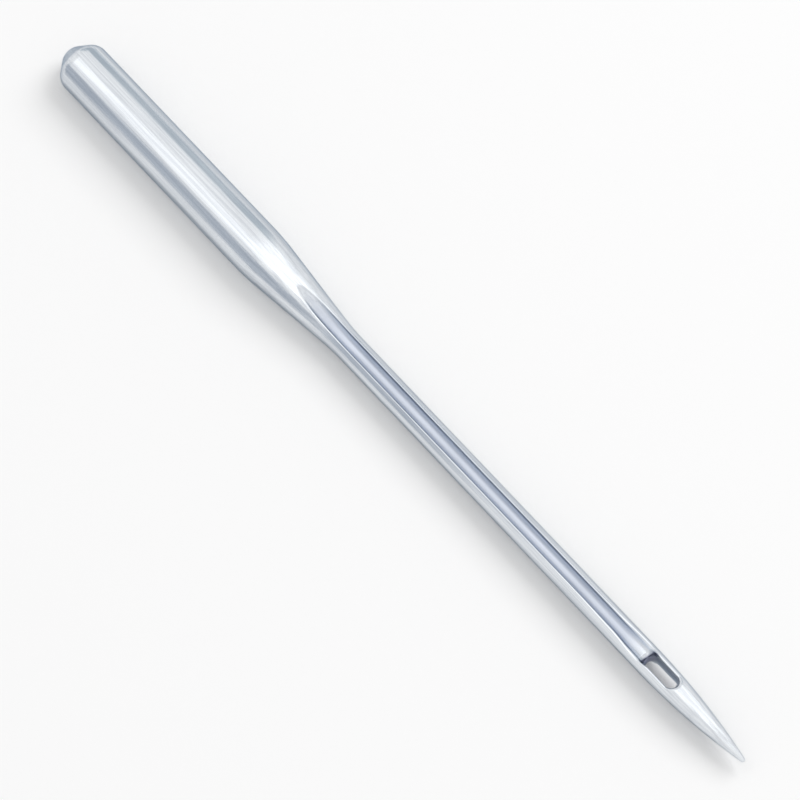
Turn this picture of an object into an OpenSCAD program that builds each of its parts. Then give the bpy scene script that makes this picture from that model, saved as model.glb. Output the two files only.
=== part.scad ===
// Sewing machine needle with a flat on the shank, made from one piece of steel wire.
// It lies on its flat: the length runs along +X from the butt end to the tip, the
// origin is the centre of the butt end, and the front, with the long groove, faces +Z.

/* [Shank] */
// Diameter of the round shank
shank_d = 2.02; // [1.9:0.01:2.1]
// Length from the butt end to the start of the shoulder
shank_len = 11.5; // [10:0.1:13]
// Thickness left from the flat to the round side opposite
shank_thickness = 1.62; // [1.58:0.01:1.8]

/* [Butt end] */
// Diameter of the small end face
butt_face_d = 0.6; // [0.4:0.05:1]
// Length of the cone that leads the needle into its clamp
butt_cone_len = 0.7; // [0.45:0.05:0.9]
// Radius that softens both edges of the cone
butt_edge_r = 0.15; // [0.05:0.01:0.2]

/* [Shoulder] */
// Length of the taper from the shank to the blade
shoulder_len = 4.6; // [3.5:0.1:6]
// Radius that blends the taper into the shank and into the blade
shoulder_blend_r = 12; // [4:0.5:20]

/* [Blade] */
// Diameter of the blade
blade_d = 1.1; // [1:0.01:1.2]

/* [Eye] */
// Length from the butt end to the start of the eye
eye_start = 33.4; // [32:0.05:34.5]
// Clear length of the eye along the blade
eye_len = 1.5; // [1.3:0.05:2.2]
// Width of the eye across the blade
eye_w = 0.54; // [0.46:0.01:0.6]
// Slope of the eye's two ends outward to the front of the blade
eye_front_slope = 26; // [10:1:35]

/* [Point] */
// Length from the end of the eye to the tip
point_len = 3.9; // [3:0.05:4.4]
// Radius of the rounded tip
tip_r = 0.09; // [0.06:0.01:0.14]

/* [Long groove] */
// Width of the groove along the front
groove_w = 0.5; // [0.4:0.01:0.52]
// Depth of the groove below the front of the blade
groove_depth = 0.42; // [0.3:0.01:0.5]
// Length of the blade, from the shoulder, in which the groove still grows deeper
groove_lead = 1.2; // [0.6:0.1:2]
// Radius of the wheel that cuts the shallow start of the groove
groove_wheel_r = 10; // [6:0.5:14]

/* [Scarf] */
// Depth of the scarf, the hollow across the back just above the eye
scarf_depth = 0.36; // [0.2:0.01:0.42]
// Length of the level floor of the scarf
scarf_floor_len = 1.8; // [1:0.1:3]
// Radius of the long curve from the blade down to the floor
scarf_lead_r = 12; // [6:1:20]
// Radius of the short curve from the floor up toward the eye
scarf_end_r = 1.6; // [1:0.1:3]
// Length of the full blade between the scarf and the eye
scarf_to_eye = 0.3; // [0.1:0.05:0.5]

/* [Short groove] */
// Width of the groove at the back, on both sides of the eye
short_groove_w = 0.44; // [0.34:0.01:0.48]
// Depth of the short groove below the back of the blade
short_groove_depth = 0.24; // [0.15:0.01:0.3]
// Length of the short groove at full depth past the eye
short_groove_past_eye = 0.3; // [0.1:0.05:0.6]
// Radius of the wheel that cuts the shallow end of the short groove
short_groove_wheel_r = 5; // [3:0.5:8]

/* [Hidden] */
$fn = 96;
steel = [0.78, 0.8, 0.83];
// Distance by which a cutting body reaches past the steel
cut_room = 1;
// Number of steps in the arc of each blended corner of the outline
blend_steps = 6;
// Number of steps in the long arc of the point, and in its rounded tip
point_steps = 18;
tip_steps = 6;

shank_r = shank_d / 2;
blade_r = blade_d / 2;
flat_z = shank_r - shank_thickness;
blade_start = shank_len + shoulder_len;
eye_mid = eye_start + eye_len / 2;
eye_end = eye_start + eye_len;
overall_len = eye_end + point_len;
groove_floor_z = blade_r - groove_depth;
groove_level_start = blade_start + groove_lead;
short_groove_floor_z = short_groove_depth - blade_r;
scarf_floor_z = scarf_depth - blade_r;
// Lengths that the two curves of the scarf take, from the floor to the back of the blade
scarf_end_len = sqrt(pow(scarf_end_r, 2) - pow(scarf_end_r - scarf_depth, 2));
scarf_floor_end = eye_start - scarf_to_eye - scarf_end_len;
scarf_floor_start = scarf_floor_end - scarf_floor_len;
// Distances from the axis to clear air beside the shank and beside the blade
shank_clear = shank_r + cut_room;
blade_clear = blade_r + cut_room;

// One arc, level with the blade where the eye starts, runs into the ball of the tip
tip_centre = overall_len - tip_r;
point_arc_len = tip_centre - eye_start;
point_arc_r = (pow(point_arc_len, 2) + pow(blade_r, 2) - pow(tip_r, 2)) / (2 * (blade_r - tip_r));
point_arc_turn = asin(point_arc_len / (point_arc_r - tip_r));

// Point of a circle, by its centre, radius and angle
function on_circle(centre, r, angle) = centre + r * [cos(angle), sin(angle)];

// Arc of radius r that blends the corner b of the path from a through b to c
function blended(a, b, c, r) =
    let (
        back = (a - b) / norm(a - b),
        ahead = (c - b) / norm(c - b),
        half = acos(back * ahead) / 2,
        centre = b + (back + ahead) / norm(back + ahead) * r / sin(half),
        first = b + back * r / tan(half) - centre,
        start = atan2(first.y, first.x),
        bend = back.x * ahead.y - back.y * ahead.x,
        turn = (bend > 0 ? -1 : 1) * (180 - 2 * half)
    )
    [for (i = [0 : blend_steps]) on_circle(centre, r, start + turn * i / blend_steps)];

// Corners of the turned blank, as [distance from the axis, length from the butt end]
butt_centre = [0, 0];
butt_rim = [butt_face_d / 2, 0];
cone_end = [shank_r, butt_cone_len];
shank_end = [shank_r, shank_len];
shoulder_end = [blade_r, blade_start];
blade_end = [blade_r, eye_start];

module blank() {
    rotate([0, 90, 0])
        rotate_extrude()
            polygon(concat(
                [butt_centre],
                blended(butt_centre, butt_rim, cone_end, butt_edge_r),
                blended(butt_rim, cone_end, shank_end, butt_edge_r),
                blended(cone_end, shank_end, shoulder_end, shoulder_blend_r),
                blended(shank_end, shoulder_end, blade_end, shoulder_blend_r),
                [for (i = [0 : point_steps])
                    on_circle([blade_r - point_arc_r, eye_start], point_arc_r,
                        point_arc_turn * i / point_steps)],
                [for (i = [1 : tip_steps])
                    on_circle([0, tip_centre], tip_r,
                        point_arc_turn + (90 - point_arc_turn) * i / tip_steps)]
            ));
}

// Space below the flat, which dies out where the shoulder becomes narrow enough
module shank_flat() {
    translate([-cut_room, -shank_clear, -shank_clear])
        cube([cut_room + blade_start, 2 * shank_clear, shank_clear + flat_z]);
}

// Section of a groove with a round floor, its lowest point at the origin
module groove_section(w) {
    translate([0, w / 2])
        circle(d = w);
    translate([-w / 2, w / 2])
        square([w, shank_clear]);
}

// Level stretch of a groove that is open upward, from its lowest line
module level_groove(w, start, end) {
    translate([start, 0, 0])
        rotate([90, 0, 90])
            linear_extrude(end - start)
                groove_section(w);
}

// Shallow end of a groove, which a wheel leaves as it comes up toward -X
module wheel_end(w, wheel_r) {
    translate([0, 0, wheel_r])
        rotate([-90, 90, 0])
            rotate_extrude(angle = 90)
                translate([wheel_r, 0])
                    rotate(90)
                        groove_section(w);
}

module long_groove() {
    translate([0, 0, groove_floor_z]) {
        level_groove(groove_w, groove_level_start, eye_mid);
        translate([groove_level_start, 0, 0])
            wheel_end(groove_w, groove_wheel_r);
    }
}

// Groove at the back, from the scarf past the eye, turned over to open downward
module short_groove() {
    level_end = eye_end + short_groove_past_eye;
    translate([0, 0, short_groove_floor_z])
        mirror([0, 0, 1]) {
            level_groove(short_groove_w, scarf_floor_end, level_end);
            translate([level_end, 0, 0])
                mirror([1, 0, 0])
                    wheel_end(short_groove_w, short_groove_wheel_r);
        }
}

// Quarter of a disc under the end of the scarf's floor, for one of its two curves
module scarf_curve(r) {
    rotate([90, 0, 0])
        linear_extrude(2 * blade_clear, center = true)
            intersection() {
                translate([0, -r])
                    circle(r);
                translate([0, -r])
                    square(r);
            }
}

module scarf() {
    translate([scarf_floor_start, -blade_clear, -blade_clear])
        cube([scarf_floor_len, 2 * blade_clear, blade_clear + scarf_floor_z]);
    translate([scarf_floor_end, 0, scarf_floor_z])
        scarf_curve(scarf_end_r);
    translate([scarf_floor_start, 0, scarf_floor_z])
        mirror([1, 0, 0])
            scarf_curve(scarf_lead_r);
}

// Slot straight through the blade, whose round ends slope outward to the front
module eye() {
    round_reach = (eye_len - eye_w) / 2;
    translate([eye_mid, 0, 0]) {
        cube([2 * round_reach, eye_w, 2 * blade_clear], center = true);
        for (end = [0, 1])
            mirror([end, 0, 0])
                translate([round_reach, 0, 0]) {
                    cylinder(d = eye_w, h = 2 * blade_clear, center = true);
                    rotate([0, eye_front_slope, 0])
                        cylinder(d = eye_w, h = blade_clear);
                }
    }
}

module needle() {
    color(steel)
        difference() {
            blank();
            shank_flat();
            long_groove();
            scarf();
            short_groove();
            eye();
        }
}

needle();
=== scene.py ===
"""A sewing machine needle of bright plated steel, lying on its flat on a pale floor.

The needle's form is the function needle(), in millimetres, which is below zero inside the steel.
A grid of its values is turned into a mesh, whose vertices are then moved onto the true surface.
"""
import math

import bpy
import numpy as np
from mathutils import Matrix, Vector


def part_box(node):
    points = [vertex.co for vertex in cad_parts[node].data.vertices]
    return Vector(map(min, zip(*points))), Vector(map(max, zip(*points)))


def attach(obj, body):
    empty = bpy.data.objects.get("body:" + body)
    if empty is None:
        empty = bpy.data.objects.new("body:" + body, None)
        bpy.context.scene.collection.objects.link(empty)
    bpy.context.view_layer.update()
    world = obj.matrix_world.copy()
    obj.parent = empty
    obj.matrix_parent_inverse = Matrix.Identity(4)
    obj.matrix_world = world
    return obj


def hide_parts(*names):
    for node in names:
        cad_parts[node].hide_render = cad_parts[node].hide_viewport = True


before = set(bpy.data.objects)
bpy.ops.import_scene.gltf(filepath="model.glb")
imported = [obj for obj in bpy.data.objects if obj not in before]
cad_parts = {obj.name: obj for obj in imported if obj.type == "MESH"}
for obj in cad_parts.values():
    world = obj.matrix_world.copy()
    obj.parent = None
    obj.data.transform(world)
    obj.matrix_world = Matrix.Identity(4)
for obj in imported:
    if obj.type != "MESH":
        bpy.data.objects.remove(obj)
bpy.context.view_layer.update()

MM = 0.001

# Sizes in millimetres. The first three come from the imported part.
NEEDLE_LOW, NEEDLE_HIGH = (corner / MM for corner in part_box("needle"))
LENGTH = NEEDLE_HIGH.x
SHANK_R = min(NEEDLE_HIGH.y, NEEDLE_HIGH.z)
FLAT_Z = NEEDLE_LOW.z

SHANK_LEN = 11.5
FLAT_EDGE_R = 0.05
BUTT_FACE_R = 0.3
BUTT_CONE_LEN = 0.7
BUTT_EDGE_R = 0.15
SHOULDER_LEN = 4.6
SHOULDER_BLEND_R = 12
BLADE_R = 0.55
BLADE_START = SHANK_LEN + SHOULDER_LEN

EYE_START = 33.4
EYE_LEN = 1.5
EYE_W = 0.54
EYE_FRONT_SLOPE = math.tan(math.radians(26))
EYE_SADDLE_R = 0.1
EYE_BACK_EDGE_R = 0.06
EYE_FRONT_EDGE_R = 0.13
# Heights between which the radius of the eye's edge grows from the back's to the front's
EYE_EDGE_TURN = (-0.15, 0.05)
EYE_MID = EYE_START + EYE_LEN / 2
EYE_END = EYE_START + EYE_LEN
# Place just before the eye where the long groove is widest
EYE_LIP_X = EYE_START - 0.15

TIP_R = 0.09
TIP_CENTRE = LENGTH - TIP_R
POINT_ARC_LEN = TIP_CENTRE - EYE_START
POINT_ARC_R = (POINT_ARC_LEN**2 + BLADE_R**2 - TIP_R**2) / (2 * (BLADE_R - TIP_R))
POINT_ARC_TURN = math.asin(POINT_ARC_LEN / (POINT_ARC_R - TIP_R))

GROOVE_W = 0.5
GROOVE_W_BY_EYE = 0.64
GROOVE_W_AT_END = 0.4
GROOVE_WIDER_FROM = EYE_START - 1.6
GROOVE_DEPTH = 0.42
GROOVE_FLOOR_Z = BLADE_R - GROOVE_DEPTH
GROOVE_LEAD = 1.2
GROOVE_LEVEL_START = BLADE_START + GROOVE_LEAD
GROOVE_WHEEL_R = 10
GROOVE_LIP_R = 0.05
WORN_LIP_R = 0.15
WORN_FROM = EYE_START - 4

SCARF_DEPTH = 0.36
SCARF_FLOOR_Z = SCARF_DEPTH - BLADE_R
SCARF_FLOOR_LEN = 1.8
SCARF_LEAD_R = 12
SCARF_END_R = 1.6
SCARF_END_LEN = math.sqrt(SCARF_END_R**2 - (SCARF_END_R - SCARF_DEPTH) ** 2)
SCARF_TO_EYE = 0.3
SCARF_FLOOR_END = EYE_START - SCARF_TO_EYE - SCARF_END_LEN
SCARF_FLOOR_START = SCARF_FLOOR_END - SCARF_FLOOR_LEN
SCARF_EDGE_R = 0.08

SHORT_GROOVE_W = 0.44
SHORT_GROOVE_DEPTH = 0.24
SHORT_GROOVE_FLOOR_Z = SHORT_GROOVE_DEPTH - BLADE_R
SHORT_GROOVE_PAST_EYE = 0.3
SHORT_GROOVE_LEVEL_END = EYE_END + SHORT_GROOVE_PAST_EYE
SHORT_GROOVE_WHEEL_R = 5
SHORT_GROOVE_LIP_R = 0.04


def soft_min(a, b, width):
    """The lesser of a and b, with a smooth turn where they differ by less than width."""
    overlap = np.maximum(width - np.abs(a - b), 0)
    return np.minimum(a, b) - overlap**2 / (4 * width)


def cut(body, tool, edge_r):
    """Takes the space of a tool out of a body, and rounds the edge that it leaves."""
    from_body, from_tool = body + edge_r, edge_r - tool
    rounding = np.hypot(np.maximum(from_body, 0), np.maximum(from_tool, 0)) - edge_r
    return rounding + np.minimum(np.maximum(from_body, from_tool), 0)


def wheel_rise(past, wheel_r):
    """Height of a wheel's rim over its lowest point, at a distance past that point."""
    return wheel_r - np.sqrt(np.maximum(wheel_r**2 - np.maximum(past, 0) ** 2, 0))


def smooth_share(value, low, high):
    """0 below low, 1 above high, and a smooth rise in between."""
    share = np.clip((value - low) / (high - low), 0, 1)
    return share**2 * (3 - 2 * share)


def inside_eye(x):
    """0 up to just before the eye, and 1 from its middle."""
    return smooth_share(x, EYE_LIP_X, EYE_MID)


def outline(x):
    """Radius of the shank, the shoulder and the blade at x."""
    slope = (SHANK_R - BLADE_R) / SHOULDER_LEN
    turn = SHOULDER_BLEND_R * slope**2 / 2
    taper = SHANK_R - slope * (x - SHANK_LEN)
    return -soft_min(-soft_min(SHANK_R, taper, turn), -BLADE_R, turn)


def blank(x, rho):
    """The turned blank, at x and a distance rho from its axis, from the butt cone to the point."""
    cone_rise = SHANK_R - BUTT_FACE_R
    cone = cone_rise * x - BUTT_CONE_LEN * (rho - BUTT_FACE_R)
    cone = cone / math.hypot(cone_rise, BUTT_CONE_LEN)
    shaft = cut(cut(rho - outline(x), cone, BUTT_EDGE_R), x, BUTT_EDGE_R)
    arc_x, arc_rho = x - EYE_START, rho - (BLADE_R - POINT_ARC_R)
    point = np.hypot(arc_x, arc_rho) - POINT_ARC_R
    tip = np.hypot(x - TIP_CENTRE, rho) - TIP_R
    point = np.where(np.arctan2(arc_x, arc_rho) > POINT_ARC_TURN, tip, point)
    return np.where(x > EYE_START, point, shaft)


def groove(y, height, w):
    """A groove of width w with a round floor, which is height below the point."""
    return np.hypot(y, np.minimum(height - w / 2, 0)) - w / 2


def long_groove(x, y, z):
    """The groove at the front, worn wider toward the eye.
    Inside the eye it grows narrower than the eye is, so that it leaves no step."""
    floor_z = GROOVE_FLOOR_Z + wheel_rise(GROOVE_LEVEL_START - x, GROOVE_WHEEL_R)
    worn = smooth_share(x, GROOVE_WIDER_FROM, EYE_LIP_X)
    width = GROOVE_W + (GROOVE_W_BY_EYE - GROOVE_W) * worn
    width = width + (GROOVE_W_AT_END - width) * inside_eye(x)
    return np.maximum(groove(y, z - floor_z, width), x - EYE_MID)


def short_groove(x, y, z):
    """The groove at the back, from the scarf to where it comes up past the eye."""
    rise = wheel_rise(x - SHORT_GROOVE_LEVEL_END, SHORT_GROOVE_WHEEL_R)
    height = SHORT_GROOVE_FLOOR_Z - rise - z
    return np.maximum(groove(y, height, SHORT_GROOVE_W), SCARF_FLOOR_END - x)


def scarf(x, z):
    """The hollow across the back, with a long curve down to its floor and a short one up."""
    lead = wheel_rise(SCARF_FLOOR_START - x, SCARF_LEAD_R)
    end = wheel_rise(x - SCARF_FLOOR_END, SCARF_END_R)
    return z - (SCARF_FLOOR_Z - lead - end)


def eye(x, y, z):
    """The slot through the blade, whose ends slope outward to the front."""
    flare = (z + np.hypot(z, EYE_SADDLE_R)) / 2
    reach = (EYE_LEN - EYE_W) / 2 + EYE_FRONT_SLOPE * flare
    return np.hypot(np.maximum(np.abs(x - EYE_MID) - reach, 0), y) - EYE_W / 2


def groove_lip(x):
    """Radius of the long groove's lips, which the thread has worn rounder by the eye."""
    worn = smooth_share(x, WORN_FROM, EYE_START) * (1 - inside_eye(x))
    return GROOVE_LIP_R + (WORN_LIP_R - GROOVE_LIP_R) * worn


def eye_edge(z):
    """Radius of the eye's edge, larger at the front than at the back."""
    front = smooth_share(z, *EYE_EDGE_TURN)
    return EYE_BACK_EDGE_R + (EYE_FRONT_EDGE_R - EYE_BACK_EDGE_R) * front


def needle(p):
    """Distance of the points p from the needle's surface, below zero inside the steel."""
    x, y, z = p[..., 0], p[..., 1], p[..., 2]
    steel = blank(x, np.hypot(y, z))
    steel = cut(steel, z - FLAT_Z, FLAT_EDGE_R)
    steel = cut(steel, scarf(x, z), SCARF_EDGE_R)
    steel = cut(steel, long_groove(x, y, z), groove_lip(x))
    steel = cut(steel, short_groove(x, y, z), SHORT_GROOVE_LIP_R)
    return cut(steel, eye(x, y, z), eye_edge(z))


# Steps of the grid along the needle, finest where the form changes fastest: (place, step)
STEPS = [(0, 0.03), (0.9, 0.03), (1.6, 0.25), (10.4, 0.25), (11, 0.1), (13.2, 0.1), (13.7, 0.05),
         (15, 0.06), (17, 0.12), (18, 0.25), (26.8, 0.25), (27.5, 0.12), (31.5, 0.12), (32.1, 0.05),
         (32.8, 0.03), (35.9, 0.03), (36.6, 0.06), (38.2, 0.06), (38.6, 0.015), (38.9, 0.015)]
# Width of the grid, in cells and as a share of the needle's own width
CELLS_ACROSS = 48
ROOM = 1.08
# How often a vertex is moved onto the surface, and how often and how far toward its neighbours
SETTLE_ROUNDS = 4
RELAX_ROUNDS = 6
RELAX_SHARE = 0.5

# Depth at which a groove is fully dull and darkened, the darkening partly painted shade, and
# distances over which that fades out past the groove's wall and along its floor toward the eye,
# where the thread polishes it
HOLLOW_DEPTH = 0.3
GROOVE_FADE = 0.06
POLISHED_LEN = 1.2
# Distances from the eye's wall at which its smoothness and its painted shade have faded out
NEAR_EYE = 0.3
EYE_SHADE_FADE = 0.04
# Depths between which the painted shade on the eye's wall comes in
EYE_SHADE_DEPTHS = (0.1, 0.4)


def stations():
    """Places along the needle, from two steps before the butt end to two past the tip."""
    at, step = zip(*STEPS)
    places = [-2 * step[0]]
    while places[-1] < LENGTH + 2 * step[-1]:
        places.append(places[-1] + np.interp(places[-1], at, step))
    return np.array(places)


def grid():
    """Points round the needle, in cross-sections a little wider than the needle is there."""
    x = stations()
    radius = outline(x) - wheel_rise(x - EYE_START, POINT_ARC_R)
    reach = ROOM * np.maximum(radius, TIP_R)
    across = np.linspace(-1, 1, CELLS_ACROSS + 1)
    points = np.empty((len(x), len(across), len(across), 3))
    points[..., 0] = x[:, None, None]
    points[..., 1] = reach[:, None, None] * across[None, :, None]
    points[..., 2] = reach[:, None, None] * across[None, None, :]
    return points


def surface_net(points, values):
    """Vertices and four-sided faces of the surface where values, given at a grid of points, are 0.
    Each cell that it crosses gets a vertex, and each edge that it crosses a face between the
    vertices of the four cells round it."""
    inside = values < 0
    cells = np.array(values.shape) - 1
    total, count = np.zeros((*cells, 3)), np.zeros(cells, int)
    crossed = []
    for axis in range(3):
        start = tuple(slice(None, -1) if a == axis else slice(None) for a in range(3))
        stop = tuple(slice(1, None) if a == axis else slice(None) for a in range(3))
        found = inside[start] != inside[stop]
        first, second = values[start][found], values[stop][found]
        share = (first / (first - second))[:, None]
        place = points[start][found] * (1 - share) + points[stop][found] * share
        edge = np.argwhere(found)
        ring = []
        for offset in ((-1, -1), (0, -1), (0, 0), (-1, 0)):
            cell = edge.copy()
            cell[:, (axis + 1) % 3] += offset[0]
            cell[:, (axis + 2) % 3] += offset[1]
            ring.append(tuple(cell.T))
            np.add.at(total, ring[-1], place)
            np.add.at(count, ring[-1], 1)
        crossed.append((ring, inside[start][found]))
    used = count > 0
    number = np.full(cells, -1)
    number[used] = np.arange(used.sum())
    faces = []
    for ring, outward in crossed:
        face = np.stack([number[cell] for cell in ring], 1)
        face[~outward] = face[~outward, ::-1]
        faces.append(face)
    return total[used] / count[used][:, None], np.concatenate(faces)


def gradient(shape, p, step=1e-4):
    """How shape changes at the points p along X, Y and Z."""
    rises = [shape(p + d) - shape(p - d) for d in np.eye(3) * step]
    return np.stack(rises, -1) / (2 * step)


def settled(shape, p):
    """The points p moved onto the surface of shape."""
    for _ in range(SETTLE_ROUNDS):
        change = gradient(shape, p)
        p = p - change * (shape(p) / (change**2).sum(-1))[:, None]
    return p


def relaxed(p, faces):
    """The points p, each moved part of the way to the middle of its neighbours."""
    total, count = np.zeros_like(p), np.zeros(len(p))
    here, there = faces.ravel(), np.roll(faces, 1, axis=1).ravel()
    for a, b in ((here, there), (there, here)):
        np.add.at(total, a, p[b])
        np.add.at(count, a, 1)
    return p + RELAX_SHARE * (total / count[:, None] - p)


def depth_below_blank(p):
    """How deep the points p lie below the surface of the turned blank."""
    return -blank(p[:, 0], np.hypot(p[:, 1], p[:, 2]))


def hollow_share(p):
    """1 on a groove's floor, down to 0 at its lips and where the thread polishes it by the eye."""
    x, y, z = p.T
    in_groove = 1 - np.minimum(long_groove(x, y, z), short_groove(x, y, z)) / GROOVE_FADE
    past_polish = (np.abs(x - EYE_MID) - EYE_LEN / 2) / POLISHED_LEN
    depth = depth_below_blank(p) / HOLLOW_DEPTH
    return np.clip(in_groove, 0, 1) * np.clip(depth, 0, 1) * np.clip(past_polish, 0, 1)


def add_object(name, data):
    """An object in the scene, from its mesh, light or camera."""
    made = bpy.data.objects.new(name, data)
    bpy.context.scene.collection.objects.link(made)
    return made


def build_needle():
    """The needle's mesh, with shares from 0 to 1 at its vertices that its material reads."""
    points = grid()
    vertices, faces = surface_net(points, needle(points))
    vertices = settled(needle, vertices)
    for _ in range(RELAX_ROUNDS):
        vertices = settled(needle, relaxed(vertices, faces))
    normals = gradient(needle, vertices)
    normals /= np.linalg.norm(normals, axis=1)[:, None]

    mesh = bpy.data.meshes.new("needle_steel")
    mesh.from_pydata((vertices * MM).tolist(), [], faces.tolist())
    mesh.shade_smooth()
    mesh.normals_split_custom_set_from_vertices(normals.tolist())
    # The hollow share dulls the grooves' floors and darkens them, the darkening partly painted
    # shade
    shares = {"hollow": hollow_share(vertices),
              "by_eye": 1 - eye(*vertices.T) / NEAR_EYE,
              # The deep share sets the painted shade on the eye's wall
              "deep": smooth_share(depth_below_blank(vertices), *EYE_SHADE_DEPTHS)}
    for name, share in shares.items():
        attribute = mesh.attributes.new(name, "FLOAT", "POINT")
        attribute.data.foreach_set("value", np.clip(share, 0, 1))
    return add_object("needle_steel", mesh)


needle_steel = build_needle()
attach(needle_steel, "root")
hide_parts("needle")


def new_material(name):
    """A material with its node tree, and the tree's surface shader."""
    material = bpy.data.materials.new(name)
    material.use_nodes = True
    return material, material.node_tree, material.node_tree.nodes["Principled BSDF"]


def add_node(tree, kind, inputs=(), **settings):
    """A node of a kind, with its settings, and its inputs set to a value or linked to an output."""
    node = tree.nodes.new(kind)
    for name, value in settings.items():
        setattr(node, name, value)
    for socket, value in dict(inputs).items():
        if isinstance(value, bpy.types.NodeSocket):
            tree.links.new(value, node.inputs[socket])
        else:
            node.inputs[socket].default_value = value
    return node


def share_of(tree, name):
    """A share that build_needle stored at the vertices."""
    return add_node(tree, "ShaderNodeAttribute", attribute_name=name).outputs["Fac"]


def math_node(tree, operation, *values):
    """The result of an operation on values, each of them a number or an output."""
    return add_node(tree, "ShaderNodeMath", enumerate(values), operation=operation).outputs[0]


def streaks(tree, place, along, around, detail):
    """Noise drawn out along the needle, with a number of lumps a metre along it and round it."""
    stretched = add_node(tree, "ShaderNodeMapping",
                         {"Vector": place, "Scale": (along, around, around)})
    noise = {"Vector": stretched.outputs["Vector"], "Scale": 1, "Detail": detail, "Roughness": 0.6}
    return add_node(tree, "ShaderNodeTexNoise", noise).outputs["Fac"]


def between(tree, factor, low, high, to_low, to_high):
    """A value from to_low to to_high while factor goes from low to high."""
    limits = {"From Min": low, "From Max": high, "To Min": to_low, "To Max": to_high}
    return add_node(tree, "ShaderNodeMapRange", {"Value": factor, **limits}).outputs["Result"]


def blend_colours(tree, factor, a, b):
    """Colour a where factor is 0, and colour b where it is 1."""
    node = add_node(tree, "ShaderNodeMix", {"Factor": factor}, data_type="RGBA")
    for socket, value in (("A_Color", a), ("B_Color", b)):
        target = next(i for i in node.inputs if i.identifier == socket)
        if isinstance(value, bpy.types.NodeSocket):
            tree.links.new(value, target)
        else:
            target.default_value = value
    return next(o for o in node.outputs if o.identifier == "Result_Color")


DARK_PLATE, BRIGHT_PLATE = (0.63, 0.66, 0.70, 1), (0.76, 0.79, 0.82, 1)
# Colour of the grooves' floors: duller steel, and partly painted shade that darkens them with depth
HOLLOW_DULL_AND_SHADE_COLOUR = (0.58, 0.62, 0.70, 1)
# Painted shade: the dark colour of the eye's wall
PAINTED_EYE_SHADE_COLOUR = (0.34, 0.35, 0.45, 1)
EDGE_TINT = (0.42, 0.48, 0.55, 1)

# Lines left by drawing and polishing: lumps a metre along the needle and round it, and detail
DRAWN_LINES = (220, 10000, 4)
POLISH_LINES = (420, 26000, 2)
# Values of the drawn lines' noise between which the plate turns from dark to bright
DRAWN_RANGE = (0.4, 0.6)
# Height of the lines in metres, and how strongly it shows. It shows least by the eye, where the
# thread keeps the steel smooth, from this share of by_eye up.
LINE_HEIGHT = 0.00001
LINE_STRENGTH = 0.25
LINE_STRENGTH_BY_EYE = 0.03
SMOOTH_BY_EYE = 0.7

# Roughness, which varies in soft clouds, and what it gains in a hollow
CLOUDS = {"Scale": 380, "Detail": 3}
CLOUD_RANGE = (0.3, 0.7)
ROUGHNESS_RANGE = (0.16, 0.26)
HOLLOW_ROUGHNESS = 0.16


def steel_material():
    """Bright nickel plate over drawn and ground wire: duller in the hollows, whose floors are
    darker partly by painted shade, and with painted shade on the eye's wall.
    """
    material, tree, shader = new_material("plated_steel")
    place = add_node(tree, "ShaderNodeTexCoord").outputs["Object"]
    hollow, by_eye, deep = (share_of(tree, name) for name in ("hollow", "by_eye", "deep"))
    drawn = streaks(tree, place, *DRAWN_LINES)
    polish = streaks(tree, place, *POLISH_LINES)
    cloud = add_node(tree, "ShaderNodeTexNoise", {"Vector": place, **CLOUDS}).outputs["Fac"]

    bright = between(tree, drawn, *DRAWN_RANGE, 0, 1)
    plate = blend_colours(tree, bright, DARK_PLATE, BRIGHT_PLATE)
    # Grooves' floors darker with depth: partly duller steel, partly painted shade
    plate = blend_colours(tree, hollow, plate, HOLLOW_DULL_AND_SHADE_COLOUR)
    # Painted shade on the eye's wall, close to the wall and darker the deeper it lies
    painted_eye_shade = between(tree, by_eye, 1 - EYE_SHADE_FADE / NEAR_EYE, 1, 0, deep)
    colour = blend_colours(tree, painted_eye_shade, plate, PAINTED_EYE_SHADE_COLOUR)
    tree.links.new(colour, shader.inputs["Base Color"])
    shader.inputs["Metallic"].default_value = 1
    shader.inputs["Specular Tint"].default_value = EDGE_TINT

    gloss = between(tree, cloud, *CLOUD_RANGE, *ROUGHNESS_RANGE)
    rough = math_node(tree, "MULTIPLY_ADD", hollow, HOLLOW_ROUGHNESS, gloss)
    tree.links.new(rough, shader.inputs["Roughness"])

    lines = math_node(tree, "ADD", drawn, polish)
    strength = between(tree, by_eye, 0, SMOOTH_BY_EYE, LINE_STRENGTH, LINE_STRENGTH_BY_EYE)
    bump = add_node(tree, "ShaderNodeBump",
                    {"Height": lines, "Strength": strength, "Distance": LINE_HEIGHT})
    tree.links.new(bump.outputs["Normal"], shader.inputs["Normal"])
    return material


needle_steel.data.materials.append(steel_material())


def seen_directly(tree):
    """1 for camera, mirror and glass rays, which show the white background."""
    rays = add_node(tree, "ShaderNodeLightPath").outputs
    either = math_node(tree, "MAXIMUM", rays["Is Camera Ray"], rays["Is Glossy Ray"])
    return math_node(tree, "MAXIMUM", either, rays["Is Transmission Ray"])


# Floor, light and camera, in metres. The floor is a hair below the needle's flat.
FLOOR_SIZE = 4
FLOOR_GAP = 0.005 * MM
FLOOR_COLOUR = (0.95, 0.95, 0.95, 1)
WHITE = (1, 1, 1, 1)

bpy.ops.mesh.primitive_plane_add(size=FLOOR_SIZE, location=(0, 0, FLAT_Z * MM - FLOOR_GAP))
floor = bpy.context.object
floor.name = "floor"
pale, tree, shader = new_material("pale_floor")
shader.inputs["Base Color"].default_value = FLOOR_COLOUR
shader.inputs["Roughness"].default_value = 1
shader.inputs["Specular IOR Level"].default_value = 0
floor.data.materials.append(pale)

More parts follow.
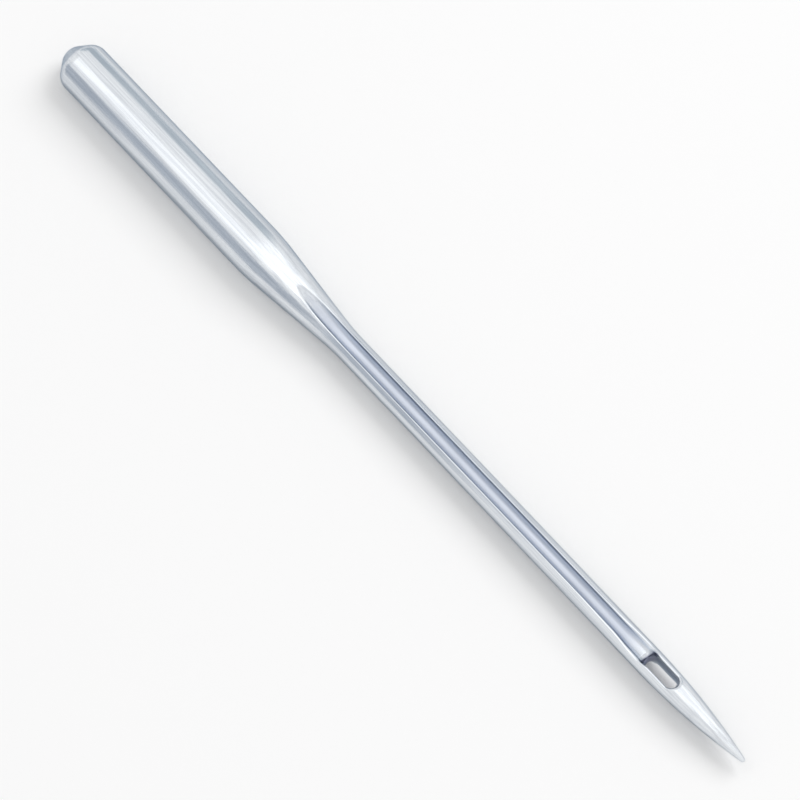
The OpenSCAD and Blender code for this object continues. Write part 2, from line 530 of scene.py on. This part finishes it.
WORLD_LEVEL = 0.7
world = bpy.data.worlds.new("studio")
bpy.context.scene.world = world
world.use_nodes = True
tree = world.node_tree
strength = between(tree, seen_directly(tree), 0, 1, WORLD_LEVEL, 1)
tree.links.new(strength, tree.nodes["Background"].inputs["Strength"])
tree.nodes["Background"].inputs["Color"].default_value = WHITE


def placed(x_axis, y_axis, z_axis, place):
    """The matrix that turns an object's axes to three directions, and puts it at a place."""
    return Matrix.Translation(place) @ Matrix((x_axis, y_axis, z_axis)).transposed().to_4x4()


def softbox(name, place, size, radiance, reflected=True):
    """A light panel that faces the origin. Its size is its width along X, and its length across."""
    lamp = bpy.data.lights.new(name, "AREA")
    lamp.shape = "RECTANGLE"
    lamp.size, lamp.size_y = size
    lamp.energy = radiance * math.pi * size[0] * size[1]
    made = add_object(name, lamp)
    facing = Vector(place).normalized()
    across = facing.cross(Vector((1, 0, 0))).normalized()
    made.matrix_world = placed(across.cross(facing), across, facing, place)
    made.visible_glossy = reflected


softbox("key", place=(-0.11, 0.152, 0.468), size=(0.124, 0.9), radiance=0.5)
softbox("shade", place=(0.1, 0.35, 0.35), size=(0.3, 0.3), radiance=3.6, reflected=False)
softbox("strip", place=(-0.18, -0.12, 0.43), size=(0.14, 0.3), radiance=0.36)


def card(name, y, height, x_from, x_to, colour):
    """A grey card that stands on the floor beside the needle, and shows only in reflections."""
    mesh = bpy.data.meshes.new(name)
    low = floor.location.z
    high = low + height
    corners = [(x_from, y, low), (x_to, y, low), (x_to, y, high), (x_from, y, high)]
    mesh.from_pydata(corners, [], [(0, 1, 2, 3)])
    made = add_object(name, mesh)
    made.visible_camera = made.visible_diffuse = made.visible_shadow = False
    material, tree, shader = new_material(name)
    tree.nodes.remove(shader)
    emission = add_node(tree, "ShaderNodeEmission", {"Color": (*colour, 1), "Strength": 1})
    tree.links.new(emission.outputs[0], tree.nodes["Material Output"].inputs["Surface"])
    mesh.materials.append(material)


card("left_card", y=-0.04, height=0.0355, x_from=-0.07, x_to=0.005, colour=(0.50, 0.54, 0.60))
card("right_card", y=0.35, height=0.27, x_from=-0.9, x_to=-0.13, colour=(0.56, 0.62, 0.67))

# The camera looks at the middle of the needle, and its roll is its turn about its own view
AZIMUTH, ELEVATION, ROLL = (math.radians(angle) for angle in (62.4, 61.7, 12.9))
DISTANCE = 0.4
camera = bpy.data.cameras.new("camera")
camera.sensor_width = 36
camera.lens = 500
camera_object = add_object("camera", camera)
level_right = Vector((math.cos(AZIMUTH), math.sin(AZIMUTH), 0))
toward = Vector((math.sin(AZIMUTH), -math.cos(AZIMUTH), 0))
back = math.cos(ELEVATION) * toward + Vector((0, 0, math.sin(ELEVATION)))
right = math.cos(ROLL) * level_right - math.sin(ROLL) * back.cross(level_right)
middle = Vector((LENGTH / 2 * MM, 0, 0))
camera_object.matrix_world = placed(right, back.cross(right), back, middle + back * DISTANCE)
bpy.context.scene.camera = camera_object

bpy.context.scene.view_settings.view_transform = "Standard"
